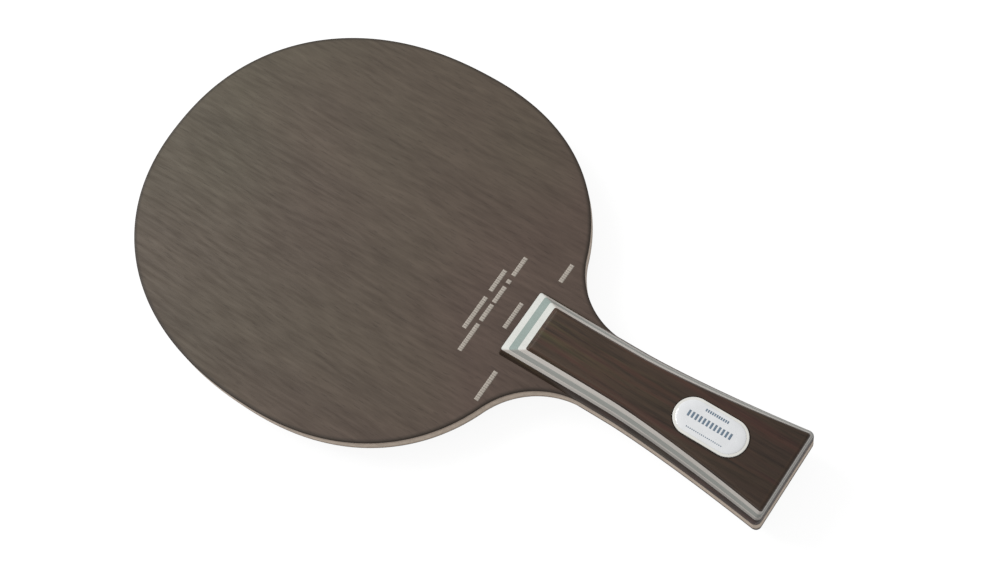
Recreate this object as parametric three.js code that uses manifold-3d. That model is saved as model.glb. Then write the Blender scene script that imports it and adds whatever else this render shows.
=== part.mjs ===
// A bare table tennis blade: a five-ply head with a flared handle, one laminated scale glued to each
// side of it, and a domed badge let into the front scale.
// Millimetres, +Z out of the front face. The head is at -X and the butt at +X. The part's origin is
// the middle of its box in X and Y, on the flat back of the handle.
import * as THREE from "three";
import { mergeVertices } from "three/addons/utils/BufferGeometryUtils.js";
import Module from "manifold-3d";

// Head outline, measured from its widest line.
const headWidth = 150;
const headFrontLength = 89.6; // from the widest line to the tip
const headRearLength = 79.2; // from the widest line to where the rear curve would close
const frontFullness = 2.18; // exponent of the superellipse in front of the widest line
const rearFullness = 2.27; // and behind it
const neckFillet = 30.8; // radius between the head's rear curve and the handle

// Handle outline: half widths of the blade under the scales.
const handleStart = 67.8; // from the widest line to the front of the scales
const handleLength = 104.85;
const frontHalfWidth = 13.35;
const waistHalfWidth = 13.05;
const buttHalfWidth = 18.3;
const waistAt = 44; // from the front of the scales to the narrowest place
const flarePower = 1.5;
const frontCornerRadius = 0.8;
const buttCornerRadius = 2.6; // on the blade and where a scale meets it
const capCornerRadius = 1; // where the cap begins

// Plies of the blade, from a face to the core.
const outerPly = 0.65;
const innerPly = 0.95;
const corePly = 2.7;

// Layers of a scale, from the blade outwards.
const baseLayer = 3.05;
const lowerWhiteVeneer = 1.4;
const tealVeneer = 1.6;
const upperWhiteVeneer = 1.4;
const capLayer = 1.6;

// How far a scale's sides and ends lean in where the cap begins.
const frontSideRun = 4.3;
const buttSideRun = 3;
const frontScaleButtRun = 0.3;
const backScaleButtRun = 1.6;
const shoulderPower = 1.47; // 1 would be a straight chamfer
const frontLip = 0.8; // lean of the base layer's front edge
const frontBevelSlope = 2; // length of the front bevel for each millimetre of height

// Badge: a stadium-shaped plate in a pocket of the front cap, with a clear dome on it.
const badgeLength = 26.5;
const badgeWidth = 13.3;
const badgeFromButt = 28.25; // from the badge's centre to the butt
const plateThickness = 0.8;
const pocketDepth = 0.5;
const pocketClearance = 0.3;
const plateRim = 0.9; // flat border of the plate around the dome
const domeHeight = 0.4;
const domeShoulder = 3.16; // width of the dome's curved border

// Resolution of the curved outlines.
const headSteps = 34;
const rearSteps = 26;
const filletSteps = 12;
const handleSteps = 22;
const cornerSteps = 4;
const badgeEndSteps = 12;
const domeLevels = 4;
const filletSamples = 720;
const filletHalvings = 50;
const touchTolerance = 0.01;
const touchMargin = 1; // keeps the rear curve's last point off the start of the fillet
const onAxisTolerance = 1e-9;

const bladeThickness = 2 * (outerPly + innerPly) + corePly;
const stripes = lowerWhiteVeneer + tealVeneer + upperWhiteVeneer;
const capBottom = baseLayer + stripes; // heights above the blade's face
const scaleThickness = capBottom + capLayer;
const handleEnd = handleStart + handleLength;
const bladeBottom = scaleThickness; // the back scale's cap lies at z = 0
const bladeTop = bladeBottom + bladeThickness;
const centreX = (handleEnd - headFrontLength) / 2;

// Half width of the blade's handle at x: narrowest at the waist, flared to the butt.
function handleHalfWidth(x) {
  const fromWaist = x - handleStart - waistAt;
  if (fromWaist < 0) {
    return waistHalfWidth + (frontHalfWidth - waistHalfWidth) * (fromWaist / waistAt) ** 2;
  }
  const share = fromWaist / (handleLength - waistAt);
  return waistHalfWidth + (buttHalfWidth - waistHalfWidth) * share ** flarePower;
}

// Quarter of a superellipse from its end on the X axis (t = 0) to the widest line (t = 1).
function superellipsePoint(length, fullness, t) {
  const angle = (t * Math.PI) / 2;
  return [
    length * Math.cos(angle) ** (2 / fullness),
    (headWidth / 2) * Math.sin(angle) ** (2 / fullness),
  ];
}

// What a rounded corner of the given radius takes off the half width at a distance from the end.
function cornerCut(distance, radius) {
  return distance >= radius ? 0 : radius - Math.sqrt(radius ** 2 - (radius - distance) ** 2);
}

// Distances from an end through its rounded corner, closer together towards the end.
function cornerDistances(radius) {
  return Array.from({ length: cornerSteps }, (_, i) =>
    radius * (1 - Math.cos((i / cornerSteps) * (Math.PI / 2))));
}

// The neck fillet touches the waist line and the head's rear curve. Its centre is found by halving.
function neckFilletCentre() {
  const y = waistHalfWidth + neckFillet;
  const rearCurve = Array.from({ length: filletSamples + 1 }, (_, i) =>
    superellipsePoint(headRearLength, rearFullness, i / filletSamples));
  const gap = (x) => Math.min(...rearCurve.map(([px, py]) => Math.hypot(px - x, py - y)));
  let near = headRearLength / 2;
  let far = headRearLength + 4 * neckFillet;
  for (let i = 0; i < filletHalvings; i += 1) {
    const middle = (near + far) / 2;
    if (gap(middle) < neckFillet) near = middle;
    else far = middle;
  }
  const x = (near + far) / 2;
  const reach = neckFillet + touchTolerance;
  const touch = rearCurve.find(([px, py]) => Math.hypot(px - x, py - y) < reach);
  return { x, y, touch };
}

// One side of the blade's outline, from the tip to the butt.
function bladeSide() {
  const points = [];
  for (let i = 0; i <= headSteps; i += 1) {
    const [x, y] = superellipsePoint(headFrontLength, frontFullness, i / headSteps);
    points.push([-x, y]);
  }
  const fillet = neckFilletCentre();
  for (let i = 1; i < rearSteps; i += 1) {
    const [x, y] = superellipsePoint(headRearLength, rearFullness, 1 - i / rearSteps);
    if (x < fillet.touch[0] - touchMargin) points.push([x, y]);
  }
  const start = Math.atan2(fillet.touch[1] - fillet.y, fillet.touch[0] - fillet.x);
  const startAngle = start < 0 ? start + 2 * Math.PI : start;
  for (let i = 0; i <= filletSteps; i += 1) {
    const angle = startAngle + ((1.5 * Math.PI - startAngle) * i) / filletSteps;
    const x = fillet.x + neckFillet * Math.cos(angle);
    const onArc = fillet.y + neckFillet * Math.sin(angle);
    points.push([x, Math.max(onArc, handleHalfWidth(x))]);
  }
  const straightEnd = handleEnd - buttCornerRadius;
  for (let i = 1; i < handleSteps; i += 1) {
    const x = fillet.x + ((straightEnd - fillet.x) * i) / handleSteps;
    points.push([x, handleHalfWidth(x)]);
  }
  for (const distance of [buttCornerRadius, ...cornerDistances(buttCornerRadius).reverse()]) {
    const x = handleEnd - distance;
    points.push([x, handleHalfWidth(x) - cornerCut(distance, buttCornerRadius)]);
  }
  return points;
}

// Closes a side into an outline that runs anticlockwise seen from the front.
function mirrored(side) {
  const offAxis = side.filter(([, y]) => y > onAxisTolerance);
  const onAxis = side.filter(([, y]) => y <= onAxisTolerance).map(([x]) => [x, 0]);
  const lower = offAxis.map(([x, y]) => [x, -y]);
  return [...onAxis, ...lower, ...offAxis.reverse()];
}

// How far a scale leans in at a height above the blade's face.
function sideLean(x, height) {
  const along = (x - handleStart) / handleLength;
  const run = frontSideRun - (frontSideRun - buttSideRun) * along ** 2;
  return run * (height / capBottom) ** shoulderPower;
}

function frontLean(height) {
  const onBase = Math.min(height / baseLayer, 1) * frontLip;
  return onBase + Math.max(height - baseLayer, 0) * frontBevelSlope;
}

// Radius of a scale's butt corners, which get tighter towards the cap.
function buttCorner(height) {
  const share = Math.min(height / capBottom, 1);
  return buttCornerRadius + (capCornerRadius - buttCornerRadius) * share;
}

// Outline of a scale at a height above the blade's face.
function scaleOutline(height, buttRun) {
  const start = handleStart + frontLean(height);
  const end = handleEnd - buttRun * (height / capBottom) ** shoulderPower;
  const corner = buttCorner(height);
  const places = [];
  for (const distance of cornerDistances(frontCornerRadius)) {
    places.push([start + distance, cornerCut(distance, frontCornerRadius)]);
  }
  for (let i = 0; i <= handleSteps; i += 1) {
    const from = start + frontCornerRadius;
    const to = end - corner;
    places.push([from + ((to - from) * i) / handleSteps, 0]);
  }
  for (const distance of cornerDistances(corner).reverse()) {
    places.push([end - distance, cornerCut(distance, corner)]);
  }
  const side = places.map(([x, cut]) => [x, handleHalfWidth(x) - sideLean(x, height) - cut]);
  return mirrored(side);
}

// Closed solid through a stack of outlines with equal numbers of points, lowest first.
function loft(outlines, heights) {
  const count = outlines[0].length;
  const positions = [];
  outlines.forEach((outline, level) => {
    for (const [x, y] of outline) positions.push(x - centreX, y, heights[level]);
  });
  const index = [];
  for (let level = 0; level < outlines.length - 1; level += 1) {
    for (let i = 0; i < count; i += 1) {
      const next = (i + 1) % count;
      const low = level * count;
      const high = low + count;
      index.push(low + i, low + next, high + next, low + i, high + next, high + i);
    }
  }
  const topStart = (outlines.length - 1) * count;
  for (const [outline, first, flip] of [[outlines[0], 0, true], [outlines.at(-1), topStart, false]]) {
    const flat = outline.map(([x, y]) => new THREE.Vector2(x, y));
    for (const [a, b, c] of THREE.ShapeUtils.triangulateShape(flat, [])) {
      index.push(first + a, first + (flip ? c : b), first + (flip ? b : c));
    }
  }
  const geometry = new THREE.BufferGeometry();
  geometry.setAttribute("position", new THREE.Float32BufferAttribute(positions, 3));
  geometry.setIndex(index);
  return geometry;
}

function finish(geometry) {
  const faceted = geometry.toNonIndexed();
  faceted.computeVertexNormals();
  return faceted;
}

// Outline of a stadium: two straight sides joined by half circles, about a centre on the X axis.
function stadium(length, width, centre) {
  const radius = width / 2;
  const reach = length / 2 - radius;
  const points = [];
  for (const [side, firstAngle] of [[1, -Math.PI / 2], [-1, Math.PI / 2]]) {
    for (let i = 0; i <= badgeEndSteps; i += 1) {
      const angle = firstAngle + (Math.PI * i) / badgeEndSteps;
      points.push([centre + side * reach + radius * Math.cos(angle), radius * Math.sin(angle)]);
    }
  }
  return points;
}

const wasm = await Module();
wasm.setup();

function toSolid(geometry) {
  const merged = mergeVertices(geometry);
  return new wasm.Manifold(new wasm.Mesh({
    numProp: 3,
    vertProperties: merged.attributes.position.array,
    triVerts: new Uint32Array(merged.index.array),
  }));
}

function cut(geometry, tool) {
  const mesh = toSolid(geometry).subtract(toSolid(tool)).getMesh();
  const result = new THREE.BufferGeometry();
  result.setAttribute("position", new THREE.BufferAttribute(mesh.vertProperties, 3));
  result.setIndex(new THREE.BufferAttribute(mesh.triVerts, 1));
  return result;
}

const darkWood = new THREE.MeshStandardMaterial({ color: 0x5c5148, roughness: 0.6, metalness: 0 });
const capWood = new THREE.MeshStandardMaterial({ color: 0x46392f, roughness: 0.55, metalness: 0 });
const limba = new THREE.MeshStandardMaterial({ color: 0xb39a78, roughness: 0.7, metalness: 0 });
const coreWood = new THREE.MeshStandardMaterial({ color: 0xc9b08c, roughness: 0.75, metalness: 0 });
const whiteVeneer = new THREE.MeshStandardMaterial({ color: 0xdfe0da, roughness: 0.6, metalness: 0 });
const tealWood = new THREE.MeshStandardMaterial({ color: 0x98a8a2, roughness: 0.6, metalness: 0 });
const badgeLacquer = new THREE.MeshStandardMaterial({ color: 0xdcddd9, roughness: 0.3, metalness: 0 });
const resin = new THREE.MeshStandardMaterial({ color: 0xf2f4f6, roughness: 0.1, metalness: 0 });

const paddle = new THREE.Group();

function add(name, geometry, material) {
  const mesh = new THREE.Mesh(finish(geometry), material);
  mesh.name = name;
  paddle.add(mesh);
}

// The blade's plies, from the back face to the front face.
const bladeOutline = mirrored(bladeSide());
const plies = [
  ["back_outer_ply", outerPly, darkWood],
  ["back_inner_ply", innerPly, limba],
  ["core_ply", corePly, coreWood],
  ["front_inner_ply", innerPly, limba],
  ["front_outer_ply", outerPly, darkWood],
];
let plyBottom = bladeBottom;
for (const [name, thickness, material] of plies) {
  const plyTop = plyBottom + thickness;
  add(name, loft([bladeOutline, bladeOutline], [plyBottom, plyTop]), material);
  plyBottom = plyTop;
}

// The scales' layers, each a loft between two heights above the face it is glued to.
const layers = [
  ["base", baseLayer, darkWood],
  ["lower_white_veneer", lowerWhiteVeneer, whiteVeneer],
  ["teal_veneer", tealVeneer, tealWood],
  ["upper_white_veneer", upperWhiteVeneer, whiteVeneer],
  ["cap", capLayer, capWood],
];
const badgeCentre = handleEnd - badgeFromButt;
const frontTop = bladeTop + scaleThickness;
const pocketFloor = frontTop - pocketDepth;

function badgePocket() {
  const outline = stadium(badgeLength + 2 * pocketClearance, badgeWidth + 2 * pocketClearance, badgeCentre);
  return loft([outline, outline], [pocketFloor, frontTop + pocketDepth]);
}

for (const [side, buttRun] of [["back", backScaleButtRun], ["front", frontScaleButtRun]]) {
  let low = 0;
  for (const [layer, thickness, material] of layers) {
    const high = low + thickness;
    const heights = side === "front" ? [low, high] : [high, low];
    const levels = heights.map((height) => (side === "front" ? bladeTop + height : bladeBottom - height));
    const solid = loft(heights.map((height) => scaleOutline(height, buttRun)), levels);
    const pocketed = side === "front" && layer === "cap";
    add(`${side}_scale_${layer}`, pocketed ? cut(solid, badgePocket()) : solid, material);
    low = high;
  }
}

// The badge plate stands in its pocket, and the dome's rings shrink upwards along a quarter ellipse.
const plateTop = pocketFloor + plateThickness;
const plateOutline = stadium(badgeLength, badgeWidth, badgeCentre);
add("badge_plate", loft([plateOutline, plateOutline], [pocketFloor, plateTop]), badgeLacquer);

const domeRings = Array.from({ length: domeLevels + 1 }, (_, i) => (i / domeLevels) * (Math.PI / 2));
add(
  "badge_dome",
  loft(
    domeRings.map((angle) => {
      const inset = plateRim + (1 - Math.cos(angle)) * domeShoulder;
      return stadium(badgeLength - 2 * inset, badgeWidth - 2 * inset, badgeCentre);
    }),
    domeRings.map((angle) => plateTop + domeHeight * Math.sin(angle)),
  ),
  resin,
);

export default paddle;
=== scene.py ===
"""Bare table tennis blade: plied head, striped handle scales, oval badge and printed marks.

Lengths are in metres. +X runs from the head to the butt, +Y across the blade, +Z out of the front face.
"""

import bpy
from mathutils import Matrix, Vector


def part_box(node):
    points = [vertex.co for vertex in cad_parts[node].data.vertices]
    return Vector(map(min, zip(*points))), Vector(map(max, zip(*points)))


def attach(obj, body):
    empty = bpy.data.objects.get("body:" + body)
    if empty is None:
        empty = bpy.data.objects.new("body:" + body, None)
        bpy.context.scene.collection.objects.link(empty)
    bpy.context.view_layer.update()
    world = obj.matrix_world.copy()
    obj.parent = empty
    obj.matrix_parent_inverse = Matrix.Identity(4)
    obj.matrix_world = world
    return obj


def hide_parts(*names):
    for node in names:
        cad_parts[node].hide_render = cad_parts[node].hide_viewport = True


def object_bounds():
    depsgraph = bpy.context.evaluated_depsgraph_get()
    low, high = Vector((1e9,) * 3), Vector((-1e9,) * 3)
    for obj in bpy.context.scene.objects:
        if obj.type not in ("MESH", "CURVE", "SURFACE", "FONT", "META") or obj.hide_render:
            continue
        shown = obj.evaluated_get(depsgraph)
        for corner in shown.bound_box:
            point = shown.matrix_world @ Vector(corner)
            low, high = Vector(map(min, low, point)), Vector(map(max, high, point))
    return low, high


bl_info = {
    "name": "Table Tennis Blade",
    "version": (1, 0, 0),
    "blender": (4, 5, 0),
    "location": "View3D > Sidebar > Blade",
    "description": "Builds a bare table tennis blade from its veneers, handle scales, badge and print",
    "category": "Add Mesh",
}

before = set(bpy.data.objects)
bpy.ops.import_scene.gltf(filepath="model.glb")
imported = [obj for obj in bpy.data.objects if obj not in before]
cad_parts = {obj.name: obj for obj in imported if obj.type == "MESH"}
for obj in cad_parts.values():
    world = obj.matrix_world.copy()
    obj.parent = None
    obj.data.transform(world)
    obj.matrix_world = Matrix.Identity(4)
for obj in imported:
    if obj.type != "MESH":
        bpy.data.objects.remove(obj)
cad_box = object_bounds()

import math

import bpy
import numpy as np
from bpy.props import FloatProperty, FloatVectorProperty, PointerProperty
from mathutils import Matrix, Vector

MM = 0.001
BODY = "root"
CREASE_ANGLE = math.radians(32)

# Keeps a division off zero.
TINY = 1e-9

# Radius that a corner keeps when an inset would take all of it.
SHARPEST_CORNER = 0.05 * MM

# Points that each stretch of an outline is worked out with.
OUTLINE_POINTS = 1300
HEAD_FRONT_POINTS = 1500
HEAD_REAR_POINTS = 6000
FILLET_POINTS = 200
HANDLE_POINTS = 300
BLADE_CORNER_POINTS = 60
SCALE_SIDE_POINTS = 148
SCALE_END_POINTS = 24
FRONT_CORNER_POINTS = 8
BUTT_CORNER_POINTS = 14
BADGE_POINTS = 240

# Halvings of the range in which the neck fillet's centre is looked for.
HALVINGS = 50

# Steps up a layer's side, points round the sanded edges, rings of the dome and steps across a block of ink.
SIDE_STEPS = 5
EDGE_POINTS = 5
CAP_EDGE_POINTS = 7
DOME_RINGS = 16
INK_STEPS = 4

# Frame node: visual piece and material slot, from the back face to the front face.
PLIES = {
    "back_outer_ply": ("back_face_veneer", "outer_veneer"),
    "back_inner_ply": ("back_under_veneer", "inner_veneer"),
    "core_ply": ("core", "core_wood"),
    "front_inner_ply": ("front_under_veneer", "inner_veneer"),
    "front_outer_ply": ("front_face_veneer", "outer_veneer"),
}

# Layers of a handle scale, from the blade outwards, and their material slots.
LAYERS = {
    "base": "scale_base_wood",
    "lower_white_veneer": "white_veneer",
    "teal_veneer": "teal_veneer",
    "upper_white_veneer": "white_veneer",
    "cap": "cap_wood",
}

# The ring in the middle of the rim's painted shade: its share of the way in, and its darkness.
RIM_RING_SHARE = 0.4
RIM_RING_DARKNESS = 0.6

# Two more rings on the cap's flat: their distances inside its rounded edge.
CAP_FLAT_RINGS = (0.6 * MM, 1.6 * MM)

# Printed words on the front face: distance in front of the scales, and the two ends across the blade.
FACE_WORDS = (
    (15.6, -11.7, 1.8),
    (15.6, 4.4, 13.5),
    (12.1, -19.3, -7.8),
    (12.1, -6.5, 0.6),
    (12.1, 1.4, 8.4),
    (12.1, 9.8, 11.4),
    (12.1, 13.2, 21.2),
    (3.5, -4.5, 6.3),
    (-3.4, 19.7, 27.3),
    (-3.2, -31.0, -18.9),
)

# A word's upright ticks. Their ink is wider and narrower by turns.
TICK_HEIGHT = 1.7 * MM
TICK_PITCH = 0.85 * MM
TICK_INK_SHARE = 0.92
TICK_VARIATION = 0.03

# Rows of blocks on the badge: place across it, height, first and last place along it, pitch and ink share.
BADGE_ROWS = (
    (4.0, 1.0, -4.2, 4.6, 0.8, 0.66),
    (0.3, 2.2, -8.6, 8.2, 1.4, 0.56),
    (-4.0, 0.4, -6.8, 6.8, 0.7, 0.55),
)

# A noise is nearly always between these two values.
NOISE_LOW = 0.3
NOISE_HIGH = 0.7

# Growth lines and fibres of raw wood, in waves a metre along each axis: grain across the blade, and along it.
CROSS_GRAIN = ((900.0, 60.0, 500.0), (2600.0, 240.0, 4200.0))
LONG_GRAIN = ((40.0, 700.0, 500.0), (160.0, 2400.0, 4200.0))

SPECULAR = 0.15
COAT_ROUGHNESS = 0.04
FLOOR_GREY = 0.1

# The camera's sensor in millimetres, and the large light's middle and side in metres.
SENSOR_WIDTH = 36.0
KEY_PLACE = (-0.92, -0.10, 0.85)
KEY_SIZE = 0.8


def low(node):
    """Lowest corner of a frame node."""
    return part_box(node)[0]


def high(node):
    """Highest corner of a frame node."""
    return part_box(node)[1]


TIP_X = low("core_ply").x
BUTT_X = high("core_ply").x
HEAD_HALF_WIDTH = high("core_ply").y
SCALE_FRONT_X = low("front_scale_base").x
BLADE_TOP = high("front_outer_ply").z
BLADE_BOTTOM = low("back_outer_ply").z
BLADE_MIDDLE = (BLADE_TOP + BLADE_BOTTOM) / 2
CAP_BOTTOM_HEIGHT = low("front_scale_cap").z - BLADE_TOP
BASE_TOP_HEIGHT = high("front_scale_base").z - BLADE_TOP
BADGE_CENTRE_X = (low("badge_plate").x + high("badge_plate").x) / 2

# Heights from the middle of the blade's thickness, the same on both scales.
LOWER_VENEER_BOTTOM = low("front_scale_lower_white_veneer").z - BLADE_MIDDLE
LOWER_VENEER_TOP = high("front_scale_lower_white_veneer").z - BLADE_MIDDLE
LOWER_VENEER_MIDDLE = (LOWER_VENEER_BOTTOM + LOWER_VENEER_TOP) / 2


def length(name, description, value):
    """Size in metres that a user can change."""
    return FloatProperty(name=name, description=description, default=value, min=0.0,
                         unit="LENGTH", precision=5)


def colour(name, description, value):
    """Colour, in linear light, that a user can change."""
    return FloatVectorProperty(name=name, description=description, default=value, min=0.0, max=1.0,
                               size=3, subtype="COLOR")


def factor(name, description, value):
    """Plain number that a user can change."""
    return FloatProperty(name=name, description=description, default=value, min=0.0)


class BladeShape(bpy.types.PropertyGroup):
    """Outline of the head and finish of its edges."""

    front_length: length("Front length", "From the tip to the widest line of the head", 89.6 * MM)
    rear_length: length("Rear length", "From the widest line to where the rear curve would close", 79.2 * MM)
    front_fullness: factor("Front fullness", "Superellipse exponent in front of the widest line", 2.18)
    rear_fullness: factor("Rear fullness", "Superellipse exponent behind the widest line", 2.27)
    neck_fillet: length("Neck fillet", "Radius between the head and the handle", 30.8 * MM)
    edge_round: length("Edge round", "Radius sanded on the edges of the faces", 0.4 * MM)
    glue_groove: length("Glue groove", "Chamfer left along each glue line", 0.035 * MM)
    rim_fade: length("Rim fade", "Width of the darker band inside the rim", 1.1 * MM)


class HandleShape(bpy.types.PropertyGroup):
    """Plan and shoulders of the handle."""

    front_half_width: length("Front half width", "Half width at the front of the scales", 13.35 * MM)
    waist_half_width: length("Waist half width", "Half width at the narrowest place", 13.05 * MM)
    butt_half_width: length("Butt half width", "Half width at the butt", 18.3 * MM)
    waist_at: length("Waist place", "From the front of the scales to the waist", 44.0 * MM)
    flare_power: factor("Flare power", "Exponent of the flare behind the waist", 1.5)
    front_corner: length("Front corner", "Radius of the front corners", 0.8 * MM)
    butt_corner: length("Butt corner", "Radius of the butt corners on the blade", 2.6 * MM)
    cap_corner: length("Cap corner", "Radius of the butt corners where the cap begins", 1.0 * MM)
    front_side_run: length("Front side run", "Lean of the sides under the cap, at the front", 4.3 * MM)
    butt_side_run: length("Butt side run", "Lean of the sides under the cap, at the butt", 3.0 * MM)
    front_butt_run: length("Front butt run", "Lean of the front scale's butt end under the cap", 0.3 * MM)
    back_butt_run: length("Back butt run", "Lean of the back scale's butt end under the cap", 1.6 * MM)
    shoulder_power: factor("Shoulder power", "1 is a straight chamfer, and more is rounder", 1.47)
    front_lip: length("Front lip", "Lean of the base layer's front edge", 0.8 * MM)
    bevel_slope: factor("Bevel slope", "Length of the front bevel for each unit of height", 2.0)
    edge_round: length("Edge round", "Radius sanded on the cap's edges", 1.1 * MM)
    glue_groove: length("Glue groove", "Chamfer left along each glue line", 0.03 * MM)


class BadgeShape(bpy.types.PropertyGroup):
    """Oval badge in the front cap."""

    pocket_clearance: length("Pocket clearance", "Gap between the plate and its pocket", 0.3 * MM)
    pocket_depth: length("Pocket depth", "How deep the plate is let in", 0.5 * MM)
    pocket_lip: length("Pocket lip", "Chamfer on the pocket's edge", 0.08 * MM)
    plate_edge_round: length("Plate edge round", "Radius of the plate's upper edge", 0.12 * MM)
    plate_border: length("Plate border", "From the plate's edge to a ring under the dome", 1.2 * MM)
    dome_shoulder: length("Dome shoulder", "Width of the curved border of the dome", 3.16 * MM)
    print_thickness: length("Print thickness", "Thickness of the ink", 0.012 * MM)


class FinishColours(bpy.types.PropertyGroup):
    """Colours of the woods, the print and the badge, in linear light."""

    face_light: colour("Face veneer, light", "Light fibres of the dark face veneer", (0.06, 0.0445, 0.0305))
    face_dark: colour("Face veneer, dark", "Dark fibres of the dark face veneer", (0.032, 0.0225, 0.015))
    under: colour("Under veneer", "Light veneer under the face", (0.3, 0.238, 0.19))
    core: colour("Core", "Thick pale core", (0.39, 0.322, 0.262))
    base: colour("Scale base", "Dark wood glued to the blade", (0.021, 0.014, 0.01))
    cap_brown: colour("Cap, brown", "Main brown of the cap", (0.024, 0.0148, 0.0092))
    cap_red: colour("Cap, reddish", "Reddish streaks of the cap", (0.034, 0.0135, 0.0095))
    cap_olive: colour("Cap, olive", "Olive streaks of the cap", (0.03, 0.0255, 0.01))
    white: colour("White veneer", "White dyed veneer", (0.367, 0.376, 0.356))
    teal: colour("Teal veneer", "Grey teal dyed veneer", (0.159, 0.196, 0.181))
    # Painted light: warmer, duller copies of the veneers' colours for the faces that look sideways.
    white_side_painted_light: colour("White veneer, sanded", "White veneer on the sanded sides", (0.345, 0.325, 0.303))
    teal_side_painted_light: colour("Teal veneer, sanded", "Teal veneer on the sanded sides", (0.2, 0.205, 0.192))
    ink: colour("Face print", "Ink of the marks on the face", (0.25, 0.225, 0.195))
    plate: colour("Badge plate", "Lacquered plate of the badge", (0.44, 0.435, 0.41))
    dome: colour("Badge dome", "Pale printed ground under the clear dome", (0.435, 0.442, 0.45))
    badge_ink: colour("Badge print", "Ink of the blocks on the badge", (0.066, 0.1, 0.138))


class Studio(bpy.types.PropertyGroup):
    """Floor, light and camera."""

    azimuth: FloatProperty(name="Azimuth", description="Camera's turn about the vertical",
                           default=math.radians(54.057), subtype="ANGLE")
    elevation: FloatProperty(name="Elevation", description="Camera's height angle",
                             default=math.radians(64.348), subtype="ANGLE")
    roll: FloatProperty(name="Roll", description="Camera's turn about its own axis",
                        default=math.radians(-20.945), subtype="ANGLE")
    distance: length("Distance", "From the camera to the point that it looks at", 562.78 * MM)
    look_x: FloatProperty(name="Look at X", description="Along the handle", default=10.09 * MM, unit="LENGTH")
    look_y: FloatProperty(name="Look at Y", description="Across the blade", default=10.17 * MM, unit="LENGTH")
    lens: FloatProperty(name="Lens", description="Focal length in millimetres on a 36 mm sensor",
                        default=58.11)
    floor_size: length("Floor size", "Side of the square floor", 6.0)
    sky: factor("Sky", "Strength of the even white light", 1.0)
    key_power: factor("Key power", "Power of the large light beyond the tip, in watts", 20.0)
    floor_glow: factor("Floor glow", "Light that the floor gives off, to stay even under the piece", 0.9)


# Surfaces ------------------------------------------------------------------------------------------

def closed_surface(name, rings):
    """Skin through a stack of rings, shaped (levels, points, 3), closed by a flat face on each end ring.

    Vertex (level, point) is joined to its neighbours on the grid, which closes on itself in the point
    direction.
    """
    levels, count, _ = rings.shape
    level, place = np.meshgrid(np.arange(levels - 1), np.arange(count), indexing="ij")
    following = (place + 1) % count
    below = level * count
    above = below + count
    quads = np.stack([below + place, below + following, above + following, above + place], axis=-1)
    ring = np.arange(count)
    ends = np.stack([ring[::-1], (levels - 1) * count + ring])
    return mesh_piece(name, rings.reshape(-1, 3), quads.reshape(-1, 4), ends)


def mesh_piece(name, points, *faces):
    """Object from points and arrays of faces, one array for each number of corners, shaded smooth.

    Edges sharper than the crease angle stay sharp.
    """
    mesh = bpy.data.meshes.new(name)
    mesh.vertices.add(len(points))
    mesh.vertices.foreach_set("co", points.astype(np.float32).ravel())
    corners = np.concatenate([group.ravel() for group in faces]).astype(np.int32)
    sizes = np.concatenate([np.full(len(group), group.shape[1]) for group in faces])
    starts = np.cumsum(sizes) - sizes
    mesh.loops.add(len(corners))
    mesh.loops.foreach_set("vertex_index", corners)
    mesh.polygons.add(len(starts))
    mesh.polygons.foreach_set("loop_start", starts.astype(np.int32))
    mesh.update(calc_edges=True)
    mesh.validate()
    mesh.shade_smooth()
    mesh.set_sharp_from_angle(angle=CREASE_ANGLE)
    piece = bpy.data.objects.new(name, mesh)
    bpy.context.scene.collection.objects.link(piece)
    return piece


def write_attribute(piece, name, values):
    """Stores one number for each vertex, for a material to read."""
    attribute = piece.data.attributes.new(name, "FLOAT", "POINT")
    attribute.data.foreach_set("value", values.astype(np.float32))


def at_height(outline, z):
    """Puts a flat outline at a height."""
    return np.column_stack([outline, np.full(len(outline), z)])


def moved_in(outline, distance):
    """Outline moved inwards along its own normals, which are the turned chords of each point's neighbours."""
    chord = np.roll(outline, -1, axis=0) - np.roll(outline, 1, axis=0)
    inward = np.column_stack([-chord[:, 1], chord[:, 0]])
    inward /= np.linalg.norm(inward, axis=1)[:, None]
    return outline + inward * distance


def by_length(line, count):
    """Points evenly spaced along a line, both ends kept."""
    step = np.linalg.norm(np.diff(line, axis=0), axis=1)
    travelled = np.concatenate([[0], np.cumsum(step)])
    places = np.linspace(0, travelled[-1], count)
    return np.column_stack([np.interp(places, travelled, line[:, axis]) for axis in (0, 1)])


def superellipse(along, across, fullness, t):
    """Quarter of a superellipse: (along * cos^(2/n), across * sin^(2/n)) of a quarter turn times t."""
    angle = t * math.pi / 2
    return np.column_stack([
        along * np.abs(np.cos(angle)) ** (2 / fullness),
        across * np.abs(np.sin(angle)) ** (2 / fullness),
    ])


def quarter_round(radius, points):
    """Two distances along a quarter circle: radius * (1 - cos) grows from 0, radius * (1 - sin) falls to 0.

    On a corner they are the distance from the end and the cut in the half width, and on a sanded edge the
    inset and the drop.
    """
    angle = np.linspace(0, math.pi / 2, points)
    return radius * (1 - np.cos(angle)), radius * (1 - np.sin(angle))


def handle_half_width(handle, x):
    """A parabola from the front down to the waist, then waist + flare * share^power out to the butt."""
    from_waist = x - SCALE_FRONT_X - handle.waist_at
    front = (handle.front_half_width - handle.waist_half_width) * (from_waist / handle.waist_at) ** 2
    share = np.clip(from_waist / (BUTT_X - SCALE_FRONT_X - handle.waist_at), 0, None)
    flare = (handle.butt_half_width - handle.waist_half_width) * share ** handle.flare_power
    return handle.waist_half_width + np.where(from_waist < 0, front, flare)


def neck_fillet_centre(rear, y, radius):
    """Place along X of a circle that just touches the rear curve, with its centre at y, found by halving."""
    near = rear[:, 0].max() - radius
    far = rear[:, 0].max() + 4 * radius
    for _ in range(HALVINGS):
        middle = (near + far) / 2
        gap = np.hypot(rear[:, 0] - middle, rear[:, 1] - y).min()
        if gap < radius:
            near = middle
        else:
            far = middle
    return (near + far) / 2


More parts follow.
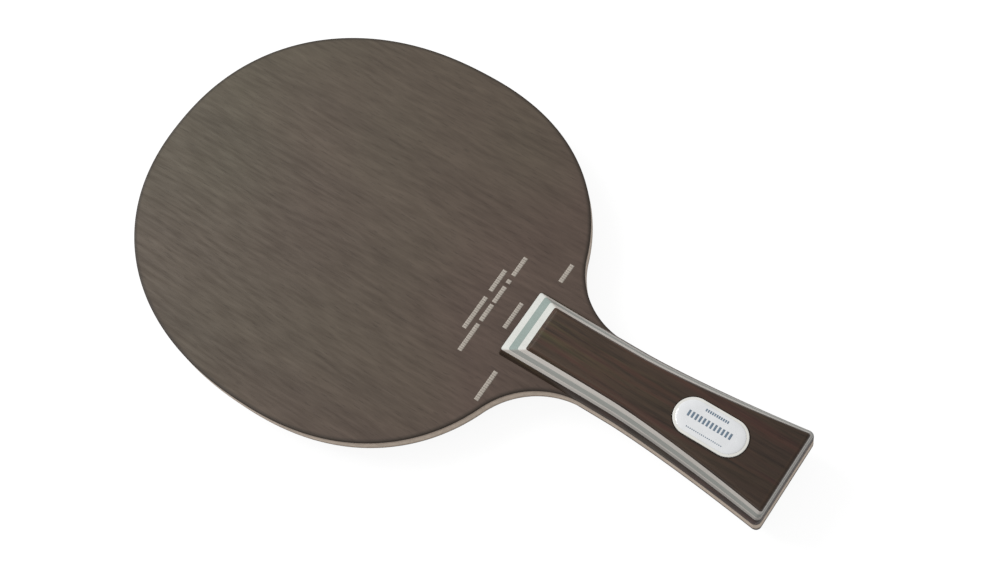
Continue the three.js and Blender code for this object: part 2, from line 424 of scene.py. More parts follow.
def blade_outline(blade, handle):
    """Superellipse to the widest line, another behind it, a tangent fillet, the handle, and round corners.

    One side runs from the tip to the middle of the butt, evenly spaced, and its mirror image closes it.
    """
    widest = TIP_X + blade.front_length
    front_share = np.linspace(0, 1, HEAD_FRONT_POINTS)
    rear_share = np.linspace(1, 0, HEAD_REAR_POINTS)
    front = superellipse(-blade.front_length, HEAD_HALF_WIDTH, blade.front_fullness, front_share)
    rear = superellipse(blade.rear_length, HEAD_HALF_WIDTH, blade.rear_fullness, rear_share)
    front[:, 0] += widest
    rear[:, 0] += widest
    radius = blade.neck_fillet
    y = handle.waist_half_width + radius
    x = neck_fillet_centre(rear, y, radius)
    touch = np.hypot(rear[:, 0] - x, rear[:, 1] - y).argmin()
    start = math.atan2(rear[touch, 1] - y, rear[touch, 0] - x) % (2 * math.pi)
    angle = np.linspace(start, 1.5 * math.pi, FILLET_POINTS)
    fillet_x = x + radius * np.cos(angle)
    fillet_y = np.maximum(y + radius * np.sin(angle), handle_half_width(handle, fillet_x))
    straight = np.linspace(x, BUTT_X - handle.butt_corner, HANDLE_POINTS)[1:]
    distance, cut = quarter_round(handle.butt_corner, BLADE_CORNER_POINTS)
    corner_x = BUTT_X - distance[::-1]
    side = np.concatenate([
        front,
        rear[1:touch],
        np.column_stack([fillet_x, fillet_y]),
        np.column_stack([straight, handle_half_width(handle, straight)]),
        np.column_stack([corner_x, handle_half_width(handle, corner_x) - cut[::-1]]),
        [[BUTT_X, 0]],
    ])
    side = by_length(side, OUTLINE_POINTS // 2 + 1)
    mirror = side[1:-1] * [1, -1]
    return np.concatenate([side[::-1], mirror])


def side_lean(handle, x, height):
    """Run of the shoulder at x times (height / height of the cap's underside)^power."""
    along = (x - SCALE_FRONT_X) / (BUTT_X - SCALE_FRONT_X)
    run = handle.front_side_run - (handle.front_side_run - handle.butt_side_run) * along ** 2
    return run * (height / CAP_BOTTOM_HEIGHT) ** handle.shoulder_power


def scale_outline(handle, butt_run, height, inset=0.0):
    """Outline of a scale at a height above the blade: two flared sides with rounded corners, and two ends.

    An inset moves every side inwards by the same length and takes it off the corner radii too.
    """
    up_to_cap = height / CAP_BOTTOM_HEIGHT
    on_base = min(height / BASE_TOP_HEIGHT, 1) * handle.front_lip
    start = SCALE_FRONT_X + on_base + max(height - BASE_TOP_HEIGHT, 0) * handle.bevel_slope + inset
    end = BUTT_X - butt_run * up_to_cap ** handle.shoulder_power - inset
    corner = handle.butt_corner + (handle.cap_corner - handle.butt_corner) * min(up_to_cap, 1)
    near_radius = max(handle.front_corner - inset, SHARPEST_CORNER)
    far_radius = max(corner - inset, SHARPEST_CORNER)
    near, near_cut = quarter_round(near_radius, FRONT_CORNER_POINTS)
    far, far_cut = quarter_round(far_radius, BUTT_CORNER_POINTS)
    middle = np.linspace(start + near_radius, end - far_radius, SCALE_SIDE_POINTS + 2)[1:-1]
    x = np.concatenate([start + near, middle, end - far[::-1]])
    cut = np.concatenate([near_cut, np.zeros(len(middle)), far_cut[::-1]])
    y = handle_half_width(handle, x) - side_lean(handle, x, height) - inset - cut
    across = np.linspace(-1, 1, SCALE_END_POINTS + 2)[1:-1]
    lower = np.column_stack([x, -y])
    butt = np.column_stack([np.full(SCALE_END_POINTS, end), across * y[-1]])
    upper = np.column_stack([x, y])[::-1]
    front = np.column_stack([np.full(SCALE_END_POINTS, start), -across * y[0]])
    return np.concatenate([lower, butt, upper, front])


def stadium_reach(angle, half_length, half_width):
    """Distance from the middle of a stadium to its edge in each direction.

    A ray meets the straight side at half_width / |sin|, or the end circle at a root of its equation.
    """
    reach = half_length - half_width
    cosine, sine = np.abs(np.cos(angle)), np.abs(np.sin(angle))
    on_side = half_width / np.maximum(sine, TINY)
    on_end = reach * cosine + np.sqrt(np.maximum(half_width ** 2 - (reach * sine) ** 2, 0))
    return np.where(on_side * cosine <= reach, on_side, on_end)


def stadium_outline(half_length, half_width, angle):
    """Stadium around the badge's centre, at the given directions."""
    reach = stadium_reach(angle, half_length, half_width)
    return np.column_stack([BADGE_CENTRE_X + reach * np.cos(angle), reach * np.sin(angle)])


# Materials -----------------------------------------------------------------------------------------

class Paint:
    """Small helper that adds nodes to one material and joins them."""

    def __init__(self, name):
        self.material = bpy.data.materials.new(name)
        self.material.use_nodes = True
        self.tree = self.material.node_tree
        self.shader = self.tree.nodes["Principled BSDF"]
        self.shader.inputs["Specular IOR Level"].default_value = SPECULAR

    def add(self, kind, **settings):
        node = self.tree.nodes.new(kind)
        for key, value in settings.items():
            setattr(node, key, value)
        return node

    def link(self, source, target):
        self.tree.links.new(source, target)

    def position(self):
        return self.add("ShaderNodeTexCoord").outputs["Object"]

    def axes(self, vector):
        """The X, Y and Z of a vector, as outputs by name."""
        node = self.add("ShaderNodeSeparateXYZ")
        self.link(vector, node.inputs[0])
        return node.outputs

    def stored(self, name):
        """A number that the mesh stores for each vertex."""
        return self.add("ShaderNodeAttribute", attribute_name=name).outputs["Fac"]

    def bent(self, position, reach, wave):
        """Position pushed sideways by a slow noise, so that the grain isn't ruler straight."""
        slow = self.noise(position, (wave, wave * 1.6, wave), detail=1.0).node
        centred = self.add("ShaderNodeVectorMath", operation="SUBTRACT")
        self.link(slow.outputs["Color"], centred.inputs[0])
        centred.inputs[1].default_value = (0.5, 0.5, 0.5)
        pushed = self.add("ShaderNodeVectorMath", operation="MULTIPLY_ADD")
        self.link(centred.outputs[0], pushed.inputs[0])
        pushed.inputs[1].default_value = (0.0, reach, reach * 0.3)
        self.link(position, pushed.inputs[2])
        return pushed.outputs[0]

    def noise(self, position, frequency, detail=3.0, offset=(0.0, 0.0, 0.0), rough=0.55):
        """Noise from 0 to 1, with its own frequency, per metre, along each axis."""
        mapping = self.add("ShaderNodeMapping")
        mapping.inputs["Location"].default_value = offset
        mapping.inputs["Scale"].default_value = frequency
        self.link(position, mapping.inputs["Vector"])
        noise = self.add("ShaderNodeTexNoise")
        noise.inputs["Scale"].default_value = 1.0
        noise.inputs["Detail"].default_value = detail
        noise.inputs["Roughness"].default_value = rough
        self.link(mapping.outputs[0], noise.inputs["Vector"])
        return noise.outputs["Fac"]

    def remap(self, value, low_in, high_in, low_out=0.0, high_out=1.0):
        """Straight-line map from one range to another, held at its ends."""
        node = self.add("ShaderNodeMapRange")
        node.inputs["From Min"].default_value = low_in
        node.inputs["From Max"].default_value = high_in
        node.inputs["To Min"].default_value = low_out
        node.inputs["To Max"].default_value = high_out
        self.link(value, node.inputs["Value"])
        return node.outputs["Result"]

    def spread(self, noise, low_out, high_out):
        """A noise's usual range mapped to another one."""
        return self.remap(noise, NOISE_LOW, NOISE_HIGH, low_out, high_out)

    def math(self, operation, first, second):
        node = self.add("ShaderNodeMath", operation=operation)
        for socket, value in zip(node.inputs, (first, second)):
            if isinstance(value, (int, float)):
                socket.default_value = value
            else:
                self.link(value, socket)
        return node.outputs[0]

    def mix(self, share, first, second, blend="MIX"):
        """Mix of two colours by a share. A colour is a tuple or another node's output."""
        node = self.add("ShaderNodeMix", data_type="RGBA", blend_type=blend)
        sockets = (node.inputs["Factor"], node.inputs["A"], node.inputs["B"])
        for socket, value in zip(sockets, (share, first, second)):
            if isinstance(value, (int, float)):
                socket.default_value = value
            elif isinstance(value, tuple):
                socket.default_value = (*value, 1.0)
            else:
                self.link(value, socket)
        return node.outputs["Result"]

    def tinted(self, base, tint):
        """A colour multiplied by another one."""
        return self.mix(1.0, base, tint, "MULTIPLY")

    def finish(self, base, roughness, bump=None, depth=0.0, strength=0.3):
        """Joins the colour, the roughness and the bump to the shader."""
        self.link(base, self.shader.inputs["Base Color"])
        if isinstance(roughness, (int, float)):
            self.shader.inputs["Roughness"].default_value = roughness
        else:
            self.link(roughness, self.shader.inputs["Roughness"])
        if bump is not None:
            node = self.add("ShaderNodeBump")
            node.inputs["Strength"].default_value = strength
            node.inputs["Distance"].default_value = depth
            self.link(bump, node.inputs["Height"])
            self.link(node.outputs["Normal"], self.shader.inputs["Normal"])
        return self.material


def dimmed(base, share):
    """A colour with each channel multiplied by a share."""
    return tuple(channel * share for channel in base)


def face_veneer_material(name, light, dark):
    """Dark stained veneer with its grain along X, with painted shade that darkens it at the rim.

    Slow bands, soft fibres and fine hairs share the mix of the dark and the light brown. Short dark pores lie
    between them. Painted light makes it greener towards the tip, redder towards the handle and paler at one
    side.
    """
    paint = Paint(name)
    place = paint.position()
    position = paint.bent(place, 3.0 * MM, 16.0)
    bands = paint.noise(position, (6.0, 90.0, 60.0), detail=2.0)
    fibres = paint.noise(position, (82.0, 660.0, 800.0), detail=3.0, rough=0.5)
    hairs = paint.noise(position, (130.0, 1900.0, 1800.0), detail=2.0)
    pores = paint.noise(position, (230.0, 2900.0, 2600.0), detail=1.0, offset=(3.0, 1.0, 2.0))
    grain = paint.math("ADD", paint.spread(bands, 0.0, 0.34), paint.spread(fibres, 0.0, 0.5))
    grain = paint.math("ADD", grain, paint.spread(hairs, 0.0, 0.16))
    base = paint.mix(grain, dark, light)
    pore = paint.remap(pores, 0.62, 0.74)
    base = paint.mix(paint.math("MULTIPLY", pore, 0.42), base, dimmed(dark, 0.5))
    axes = paint.axes(place)
    # Painted light: greener and a little lighter towards the tip, redder towards the handle, with a random
    # cloud in it.
    to_handle = paint.remap(axes["X"], TIP_X, SCALE_FRONT_X)
    cloud = paint.noise(place, (11.0, 13.0, 10.0), detail=1.0, offset=(9.0, 4.0, 1.0))
    drift = paint.math("ADD", to_handle, paint.spread(cloud, -0.35, 0.35))
    base = paint.tinted(base, paint.mix(drift, (1.02, 1.13, 1.11), (1.05, 0.97, 1.09)))
    # Painted light: paler towards +Y, darker towards -Y.
    across = paint.remap(axes["Y"], -HEAD_HALF_WIDTH, HEAD_HALF_WIDTH)
    base = paint.tinted(base, paint.mix(across, (0.98, 0.95, 0.95), (1.02, 1.05, 1.05)))
    # Painted shade: darker along the rim, by the stored rim share.
    base = paint.mix(paint.math("MULTIPLY", paint.stored("rim"), 0.8), base, dimmed(dark, 0.42))
    height = paint.math("SUBTRACT", fibres, paint.math("MULTIPLY", pore, 0.9))
    return paint.finish(base, paint.spread(fibres, 0.58, 0.46), bump=height, depth=0.06 * MM)


def edge_wood_material(name, light, grain_waves):
    """Raw light wood seen at the edge: fibres along one axis, with soft darker growth lines."""
    paint = Paint(name)
    position = paint.bent(paint.position(), 1.5 * MM, 20.0)
    growth = paint.noise(position, grain_waves[0], detail=2.0)
    fibres = paint.noise(position, grain_waves[1], detail=4.0, rough=0.6)
    grain = paint.math("ADD", paint.spread(growth, 0.0, 0.5), paint.spread(fibres, 0.0, 0.5))
    base = paint.mix(grain, dimmed(light, 0.62), light)
    return paint.finish(base, paint.spread(fibres, 0.8, 0.66), bump=fibres, depth=0.08 * MM, strength=0.4)


def dark_wood_material(name, brown, red, olive, middle_roughness):
    """Dark wood: brown with long soft reddish, olive and dark streaks, fine fibres and thin pores along X.

    The board is more olive at its front end. Painted light makes it lighter at the front end and darker at
    the butt.
    """
    paint = Paint(name)
    place = paint.position()
    to_butt = paint.remap(paint.axes(place)["X"], SCALE_FRONT_X, BUTT_X)
    olive_reach = paint.remap(to_butt, 0.06, 0.42, 1.0, 0.2)
    position = paint.bent(place, 3.5 * MM, 18.0)
    slow = paint.noise(position, (13.0, 260.0, 120.0), detail=2.0)
    green = paint.noise(position, (15.0, 330.0, 150.0), detail=2.0, offset=(5.0, 2.0, 7.0))
    dark = paint.noise(position, (24.0, 560.0, 300.0), detail=3.0, offset=(1.0, 8.0, 3.0))
    fibres = paint.noise(position, (120.0, 2300.0, 1600.0), detail=4.0, rough=0.6)
    pores = paint.noise(position, (190.0, 3800.0, 2400.0), detail=1.0, offset=(2.0, 6.0, 4.0))
    base = paint.mix(paint.remap(slow, 0.46, 0.62), brown, red)
    base = paint.mix(paint.math("MULTIPLY", paint.remap(green, 0.47, 0.62), olive_reach), base, olive)
    base = paint.mix(paint.remap(dark, 0.45, 0.66, 0.0, 0.85), base, dimmed(brown, 0.4))
    base = paint.mix(paint.remap(fibres, 0.4, 0.75, 0.0, 0.4), base, dimmed(brown, 2.0))
    pore = paint.remap(pores, 0.64, 0.74)
    base = paint.mix(paint.math("MULTIPLY", pore, 0.45), base, dimmed(brown, 0.25))
    # Painted light: lighter at the front end, darker at the butt.
    base = paint.tinted(base, paint.mix(to_butt, (1.22, 1.22, 1.18), (0.82, 0.8, 0.86)))
    base = paint.mix(paint.math("MULTIPLY", paint.stored("worn"), 0.2), base, dimmed(brown, 1.9))
    height = paint.math("SUBTRACT", paint.math("MULTIPLY", fibres, 0.5), pore)
    roughness = paint.spread(fibres, middle_roughness + 0.06, middle_roughness - 0.05)
    return paint.finish(base, roughness, bump=height, depth=0.05 * MM)


def dyed_veneer_material(name, front, side):
    """Dyed veneer seen at its edge, with fibre lines: clean on the front bevel, with painted light on the
    sideways faces.

    Painted shade darkens the sides towards the butt, and most of all in the veneer next to the base, in the
    crease by the blade, where it is partly grime.
    """
    paint = Paint(name)
    position = paint.position()
    fibres = paint.noise(position, (180.0, 2400.0, 3800.0), detail=4.0, rough=0.6)
    cloud = paint.noise(position, (30.0, 160.0, 160.0), detail=2.0, offset=(4.0, 4.0, 4.0))
    # Painted light: faces that look sideways take the side colour, and faces that look towards the tip take
    # the front colour.
    facing = paint.axes(paint.add("ShaderNodeNewGeometry").outputs["Normal"])
    on_front = paint.remap(facing["X"], -0.12, -0.34)
    axes = paint.axes(position)
    to_butt = paint.remap(axes["X"], SCALE_FRONT_X, BUTT_X)
    # Painted shade: the sides get darker towards the butt.
    sanded = paint.mix(to_butt, side, dimmed(side, 0.8))
    # Painted shade in the crease by the blade, partly grime: darkest near the base and towards the butt.
    height = paint.math("ABSOLUTE", paint.math("SUBTRACT", axes["Z"], BLADE_MIDDLE), 0.0)
    near_blade = paint.remap(height, LOWER_VENEER_TOP, LOWER_VENEER_MIDDLE)
    grime_and_crease_shade = paint.math("MULTIPLY", paint.remap(to_butt, 0.08, 0.55), near_blade)
    sanded = paint.mix(grime_and_crease_shade, sanded, dimmed(side, 0.52))
    grain = paint.math("ADD", paint.spread(fibres, 0.0, 0.65), paint.spread(cloud, 0.0, 0.35))
    shade = paint.mix(grain, (0.87, 0.86, 0.85), (1.05, 1.05, 1.05))
    base = paint.tinted(paint.mix(on_front, sanded, front), shade)
    return paint.finish(base, paint.spread(fibres, 0.6, 0.5), bump=fibres, depth=0.03 * MM)


def ink_material(name, ink, roughness):
    """Flat printed ink with a slight mottle."""
    paint = Paint(name)
    mottle = paint.noise(paint.position(), (1500.0, 1500.0, 1500.0), detail=2.0)
    base = paint.mix(paint.remap(mottle, 0.35, 0.7), dimmed(ink, 0.86), ink)
    return paint.finish(base, roughness)


def lacquer_material(name, ground, roughness, coat):
    """Ground with the faintest cloud in its colour, under a clear coat of lacquer or resin."""
    paint = Paint(name)
    cloud = paint.noise(paint.position(), (240.0, 240.0, 240.0), detail=2.0)
    base = paint.mix(paint.remap(cloud, 0.35, 0.65), dimmed(ground, 0.95), ground)
    paint.shader.inputs["Coat Weight"].default_value = coat
    paint.shader.inputs["Coat Roughness"].default_value = COAT_ROUGHNESS
    return paint.finish(base, roughness)


def floor_material(glow):
    """Matt floor that is pale by its own glow, so that it stays even under the piece."""
    material = bpy.data.materials.new("pale_floor")
    material.use_nodes = True
    shader = material.node_tree.nodes["Principled BSDF"]
    shader.inputs["Base Color"].default_value = (FLOOR_GREY, FLOOR_GREY, FLOOR_GREY, 1.0)
    shader.inputs["Roughness"].default_value = 0.9
    shader.inputs["Specular IOR Level"].default_value = 0.0
    shader.inputs["Emission Color"].default_value = (1.0, 1.0, 1.0, 1.0)
    shader.inputs["Emission Strength"].default_value = glow
    return material


# Slot: its material's name, the function that makes it, the colours that it takes and its settings.
MATERIALS = {
    "outer_veneer": ("dark_face_veneer", face_veneer_material, ("face_light", "face_dark"), ()),
    "inner_veneer": ("light_under_veneer", edge_wood_material, ("under",), (CROSS_GRAIN,)),
    "core_wood": ("pale_core", edge_wood_material, ("core",), (LONG_GRAIN,)),
    "scale_base_wood": ("dark_scale_base", dark_wood_material, ("base", "cap_red", "cap_olive"), (0.5,)),
    "cap_wood": ("dark_scale_cap", dark_wood_material, ("cap_brown", "cap_red", "cap_olive"), (0.46,)),
    "white_veneer": ("white_dyed_veneer", dyed_veneer_material, ("white", "white_side_painted_light"), ()),
    "teal_veneer": ("teal_dyed_veneer", dyed_veneer_material, ("teal", "teal_side_painted_light"), ()),
    "badge_plate": ("badge_lacquer", lacquer_material, ("plate",), (0.35, 0.3)),
    "badge_resin": ("clear_badge_resin", lacquer_material, ("dome",), (0.5, 1.0)),
}


def slot_material(slot, colours):
    """Material of a slot, made the first time that it is asked for."""
    name, maker, colour_names, settings = MATERIALS[slot]
    chosen = [tuple(getattr(colours, colour_name)) for colour_name in colour_names]
    return bpy.data.materials.get(name) or maker(name, *chosen, *settings)


def settle(piece, slot, material, *nodes):
    """Gives a finished piece its material and its body, and hides the frame nodes that it stands for. The
    slot is not used.
    """
    piece.data.materials.append(material)
    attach(piece, BODY)
    if nodes:
        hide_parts(*nodes)


# Pieces --------------------------------------------------------------------------------------------

def ply_levels(blade, node):
    """Insets and heights of a ply's rim, from its lower face to its upper face.

    A glued edge has a hairline chamfer, and the outer edge of a face veneer is sanded round.
    """
    bottom, top = low(node).z, high(node).z
    groove = blade.glue_groove
    inset, drop = quarter_round(blade.edge_round, EDGE_POINTS)
    glued_low = [(groove, bottom), (0.0, bottom + groove)]
    glued_high = [(0.0, top - groove), (groove, top)]
    round_high = [(i, top - d) for i, d in zip(inset, drop)]
    round_low = [(i, bottom + d) for i, d in zip(inset, drop)][::-1]
    if node == "front_outer_ply":
        return glued_low + round_high
    if node == "back_outer_ply":
        return round_low + glued_high
    return glued_low + glued_high


def build_ply(blade, handle, node, name):
    """The rim profile carried round the blade's outline, with two more rings inside it on each face."""
    outline = blade_outline(blade, handle)
    # Rings inside the rim that hold the painted shade along it.
    inner = blade.edge_round + blade.rim_fade
    middle = blade.edge_round + RIM_RING_SHARE * blade.rim_fade
    fading = [(inner, 0.0), (middle, RIM_RING_DARKNESS)]
    bottom, top = low(node).z, high(node).z
    levels = [(inset, bottom, darkness) for inset, darkness in fading]
    levels += [(inset, z, 1.0) for inset, z in ply_levels(blade, node)]
    levels += [(inset, top, darkness) for inset, darkness in reversed(fading)]
    piece = closed_surface(name, np.stack([at_height(moved_in(outline, inset), z) for inset, z, _ in levels]))
    write_attribute(piece, "rim", np.repeat([darkness for _, _, darkness in levels], len(outline)))
    return piece


class BLADE_OT_plies(bpy.types.Operator):
    """Build the five plies of the blade"""

    bl_idname = "blade.plies"
    bl_label = "Plies"

    def execute(self, context):
        scene = context.scene
        for node, (name, slot) in PLIES.items():
            piece = build_ply(scene.blade_shape, scene.handle_shape, node, name)
            settle(piece, slot, slot_material(slot, scene.finish_colours), node)
        return {"FINISHED"}


def layer_rings(handle, butt_run, layer, node):
    """Flat outlines and heights above the blade of a layer, from the blade outwards, and its wear."""
    bottom = low(node).z - BLADE_TOP
    top = high(node).z - BLADE_TOP
    groove = handle.glue_groove
    rings = [
        (scale_outline(handle, butt_run, bottom, groove), bottom, 0.0),
        (scale_outline(handle, butt_run, bottom + groove), bottom + groove, 0.0),
    ]
    radius = handle.edge_round if layer == "cap" else groove
    shoulder = top - radius
    for height in np.linspace(bottom + groove, shoulder, SIDE_STEPS + 1)[1:]:
        rings.append((scale_outline(handle, butt_run, height), height, 0.0))
    if layer == "cap":
        inset, drop = quarter_round(radius, CAP_EDGE_POINTS)
        for i, d in zip(inset[1:], drop[1:]):
            rings.append((scale_outline(handle, butt_run, shoulder, i), top - d, 1.0))
        for extra in CAP_FLAT_RINGS:
            rings.append((scale_outline(handle, butt_run, shoulder, radius + extra), top, 0.0))
    else:
        rings.append((scale_outline(handle, butt_run, top, groove), top, 0.0))
    return rings


def badge_pocket_rings(badge, outermost, top):
    """Rings from the cap's flat down into the badge pocket, point for point with the cap's outline.

    Each point of the outline is joined to the pocket's edge in the same direction from the badge.
    """
    angle = np.arctan2(outermost[:, 1], outermost[:, 0] - BADGE_CENTRE_X)
    half_length = (high("badge_plate").x - low("badge_plate").x) / 2 + badge.pocket_clearance
    half_width = high("badge_plate").y + badge.pocket_clearance
    lip = badge.pocket_lip
    outer = stadium_outline(half_length + lip, half_width + lip, angle)
    edge = stadium_outline(half_length, half_width, angle)
    middle = (outermost + outer) / 2
    floor = top - badge.pocket_depth
    return [(middle, top, 0.0), (outer, top, 0.0), (edge, top - lip, 0.0), (edge, floor, 0.0)]


def build_layer(handle, badge, side, layer):
    """A layer's outlines stacked by height, turned over for the back scale."""
    node = f"front_scale_{layer}"
    butt_run = handle.back_butt_run if side == "back" else handle.front_butt_run
    rings = layer_rings(handle, butt_run, layer, node)
    if layer == "cap" and side == "front":
        outermost, top, _ = rings[-1]
        rings += badge_pocket_rings(badge, outermost, top)
    if side == "back":
        rings = [(flat, BLADE_BOTTOM - height, worn) for flat, height, worn in reversed(rings)]
    else:
        rings = [(flat, BLADE_TOP + height, worn) for flat, height, worn in rings]
    piece = closed_surface(f"{side}_handle_{layer}", np.stack([at_height(flat, z) for flat, z, _ in rings]))
    write_attribute(piece, "worn", np.repeat([worn for _, _, worn in rings], len(rings[0][0])))
    return piece


class BLADE_OT_scales(bpy.types.Operator):
    """Build the layers of the two handle scales"""

    bl_idname = "blade.scales"
    bl_label = "Handle scales"

    def execute(self, context):
        scene = context.scene
        for side in ("back", "front"):
            for layer, slot in LAYERS.items():
                piece = build_layer(scene.handle_shape, scene.badge_shape, side, layer)
                settle(piece, slot, slot_material(slot, scene.finish_colours), f"{side}_scale_{layer}")
        return {"FINISHED"}


def dome_height(badge, x, y):
    """Height of the badge's surface: the dome rises as a quarter ellipse over its shoulder, then is flat."""
    half_width = high("badge_dome").y
    reach = (high("badge_dome").x - low("badge_dome").x) / 2 - half_width
    along = np.maximum(np.abs(x - BADGE_CENTRE_X) - reach, 0)
    inside = np.clip(half_width - np.hypot(along, y), 0, badge.dome_shoulder)
    rise = high("badge_dome").z - low("badge_dome").z
    return low("badge_dome").z + rise * np.sqrt(1 - (1 - inside / badge.dome_shoulder) ** 2)


class BLADE_OT_badge(bpy.types.Operator):
    """Build the badge's plate and its clear dome"""

    bl_idname = "blade.badge"
    bl_label = "Badge"

    def execute(self, context):
        scene = context.scene
        badge = scene.badge_shape
        angle = np.linspace(0, 2 * math.pi, BADGE_POINTS, endpoint=False)
        self.build_plate(badge, angle, scene.finish_colours)
        self.build_dome(badge, angle, scene.finish_colours)
        return {"FINISHED"}

    def build_plate(self, badge, angle, colours):
        """A stadium with a rounded upper edge."""
        bottom, top = low("badge_plate"), high("badge_plate")
        half_length = (top.x - bottom.x) / 2
        inset, drop = quarter_round(badge.plate_edge_round, EDGE_POINTS)
        edge = [(i, top.z - d) for i, d in zip(inset, drop)]
        levels = [(0.0, bottom.z), *edge, (badge.plate_border, top.z)]
        rings = [at_height(stadium_outline(half_length - i, top.y - i, angle), z) for i, z in levels]
        piece = closed_surface("badge_plate_face", np.stack(rings))
        settle(piece, "badge_plate", slot_material("badge_plate", colours), "badge_plate")

    def build_dome(self, badge, angle, colours):
        """Stadiums that shrink inwards as the dome rises along its quarter ellipse."""
        bottom, top = low("badge_dome"), high("badge_dome")
        half_length = (top.x - bottom.x) / 2
        rings = []
        for turn in np.linspace(0, math.pi / 2, DOME_RINGS):
            inset = badge.dome_shoulder * (1 - math.cos(turn))
            z = bottom.z + (top.z - bottom.z) * math.sin(turn)
            rings.append(at_height(stadium_outline(half_length - inset, top.y - inset, angle), z))
        piece = closed_surface("badge_clear_dome", np.stack(rings))
        settle(piece, "badge_resin", slot_material("badge_resin", colours), "badge_dome")


def ink_blocks(name, blocks, height, thickness):
    """A small grid for each block (x0, x1, y0, y1), laid on the surface z = height(x, y) and made thick."""
    side = INK_STEPS + 1
    steps = np.linspace(0, 1, side)
    u, v = np.meshgrid(steps, steps, indexing="ij")
    x = blocks[:, 0, None, None] + (blocks[:, 1] - blocks[:, 0])[:, None, None] * u
    y = blocks[:, 2, None, None] + (blocks[:, 3] - blocks[:, 2])[:, None, None] * v
    points = np.stack([x, y, height(x, y)], axis=-1).reshape(-1, 3)
    i, j = np.meshgrid(np.arange(INK_STEPS), np.arange(INK_STEPS), indexing="ij")
    corner = (i * side + j).ravel()
    square = np.stack([corner, corner + side, corner + side + 1, corner + 1], axis=-1)
    quads = (np.arange(len(blocks))[:, None, None] * side ** 2 + square).reshape(-1, 4)
    piece = mesh_piece(name, points, quads)
    solid = piece.modifiers.new("ink thickness", "SOLIDIFY")
    solid.thickness = thickness
    solid.offset = 1.0
    return piece


class BLADE_OT_print(bpy.types.Operator):
    """Build the plain printed marks on the face and on the badge"""

    bl_idname = "blade.printing"
    bl_label = "Printed marks"

    def execute(self, context):
        colours = context.scene.finish_colours
        badge = context.scene.badge_shape
        thickness = badge.print_thickness

        def on_face(x, y):
            return np.full_like(x, BLADE_TOP)

        def on_dome(x, y):
            return dome_height(badge, x, y)

        face = ink_blocks("face_marks", self.face_blocks(), on_face, thickness)
        settle(face, "white_veneer", ink_material("face_ink", tuple(colours.ink), 0.6))
        marks = ink_blocks("badge_marks", self.badge_blocks(), on_dome, thickness)
        settle(marks, "badge_resin", lacquer_material("badge_ink", tuple(colours.badge_ink), 0.4, 1.0))
        return {"FINISHED"}

    def face_blocks(self):
        """Each word is a row of upright ticks, wide and narrow by turns."""
        blocks = []
        for ahead, start, end in FACE_WORDS:
            count = max(1, round((end - start) * MM / TICK_PITCH))
            step = (end - start) * MM / count
            tick = np.arange(count)
            first = start * MM + step * tick
            width = step * (TICK_INK_SHARE + TICK_VARIATION * (-1.0) ** tick)
            row = np.full(count, SCALE_FRONT_X - ahead * MM)
            front, back = row - TICK_HEIGHT / 2, row + TICK_HEIGHT / 2
            blocks.append(np.column_stack([front, back, first, first + width]))
        return np.concatenate(blocks)

    def badge_blocks(self):
        """Three rows of plain blocks along the badge."""
        blocks = []
        for across, tall, start, end, pitch, ink_share in BADGE_ROWS:
            count = round((end - start) / pitch)
            first = BADGE_CENTRE_X + (start + (end - start) / count * np.arange(count)) * MM
            width = (end - start) / count * ink_share * MM
            row = np.full(count, across * MM)
            blocks.append(np.column_stack([first, first + width, row - tall / 2 * MM, row + tall / 2 * MM]))
        return np.concatenate(blocks)


def camera_turn(azimuth, elevation, roll):
    """Columns are the camera's right, up and back axes."""
    back = Vector((math.sin(azimuth) * math.cos(elevation), -math.cos(azimuth) * math.cos(elevation),
                   math.sin(elevation)))
    right = Vector((math.cos(azimuth), math.sin(azimuth), 0.0))
    up = back.cross(right)
    turned_right = math.cos(roll) * right + math.sin(roll) * up
    turned_up = math.cos(roll) * up - math.sin(roll) * right
    return Matrix((turned_right, turned_up, back)).transposed()


def area_light(name, place, target, size, power):
    """Square lamp that faces a target."""
    light = bpy.data.lights.new(name, "AREA")
    light.shape = "SQUARE"
    light.size = size
    light.energy = power
    lamp = bpy.data.objects.new(name, light)
    lamp.location = place
    lamp.rotation_euler = (Vector(place) - Vector(target)).to_track_quat("Z", "Y").to_euler()
    bpy.context.scene.collection.objects.link(lamp)


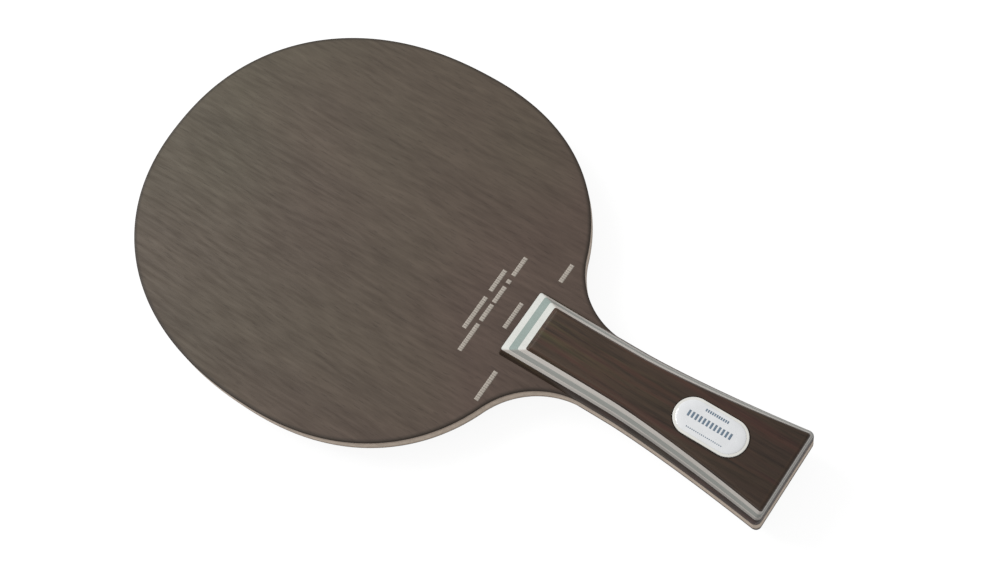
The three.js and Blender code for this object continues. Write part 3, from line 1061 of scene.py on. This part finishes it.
class BLADE_OT_stage(bpy.types.Operator):
    """Build the floor, the light and the camera"""

    bl_idname = "blade.stage"
    bl_label = "Stage"

    def execute(self, context):
        scene = context.scene
        studio = scene.studio
        target = Vector((studio.look_x, studio.look_y, BLADE_MIDDLE))
        self.build_floor(studio)
        self.build_light(scene, studio)
        camera = bpy.data.cameras.new("camera")
        camera.lens = studio.lens
        camera.sensor_width = SENSOR_WIDTH
        camera.clip_start = 0.01
        view = bpy.data.objects.new("camera", camera)
        turn = camera_turn(studio.azimuth, studio.elevation, studio.roll)
        place = target + turn.col[2] * studio.distance
        view.matrix_world = Matrix.Translation(place) @ turn.to_4x4()
        scene.collection.objects.link(view)
        scene.camera = view
        scene.view_settings.view_transform = "Standard"
        return {"FINISHED"}

    def build_floor(self, studio):
        """A square at the lowest point of the CAD box."""
        half = studio.floor_size / 2
        z = cad_box[0][2]
        corners = np.array([[-half, -half, z], [half, -half, z], [half, half, z], [-half, half, z]])
        floor = mesh_piece("floor", corners, np.array([[0, 1, 2, 3]]))
        floor.data.materials.append(floor_material(studio.floor_glow))

    def build_light(self, scene, studio):
        """An even white world and one large soft light."""
        world = bpy.data.worlds.new("studio")
        world.use_nodes = True
        background = world.node_tree.nodes["Background"]
        background.inputs["Color"].default_value = (1.0, 1.0, 1.0, 1.0)
        background.inputs["Strength"].default_value = studio.sky
        scene.world = world
        area_light("key", KEY_PLACE, (0.0, 0.0, BLADE_TOP), KEY_SIZE, studio.key_power)


class BLADE_PT_build(bpy.types.Panel):
    """Builds the blade piece by piece"""

    bl_label = "Table tennis blade"
    bl_idname = "BLADE_PT_build"
    bl_space_type = "VIEW_3D"
    bl_region_type = "UI"
    bl_category = "Blade"

    def draw(self, context):
        column = self.layout.column()
        for operator in OPERATORS:
            column.operator(operator.bl_idname)
        for group, _ in GROUPS:
            settings = getattr(context.scene, group)
            column.separator()
            for name in settings.__annotations__:
                column.prop(settings, name)


GROUPS = (
    ("blade_shape", BladeShape),
    ("handle_shape", HandleShape),
    ("badge_shape", BadgeShape),
    ("finish_colours", FinishColours),
    ("studio", Studio),
)
OPERATORS = (BLADE_OT_plies, BLADE_OT_scales, BLADE_OT_badge, BLADE_OT_print, BLADE_OT_stage)


def register():
    for name, group in GROUPS:
        bpy.utils.register_class(group)
        setattr(bpy.types.Scene, name, PointerProperty(type=group))
    for operator in OPERATORS:
        bpy.utils.register_class(operator)
    bpy.utils.register_class(BLADE_PT_build)


def unregister():
    bpy.utils.unregister_class(BLADE_PT_build)
    for operator in reversed(OPERATORS):
        bpy.utils.unregister_class(operator)
    for name, group in reversed(GROUPS):
        delattr(bpy.types.Scene, name)
        bpy.utils.unregister_class(group)


def main():
    register()
    bpy.ops.blade.plies()
    bpy.ops.blade.scales()
    bpy.ops.blade.badge()
    bpy.ops.blade.printing()
    bpy.ops.blade.stage()
    bpy.context.view_layer.update()


if __name__ == "__main__":
    main()
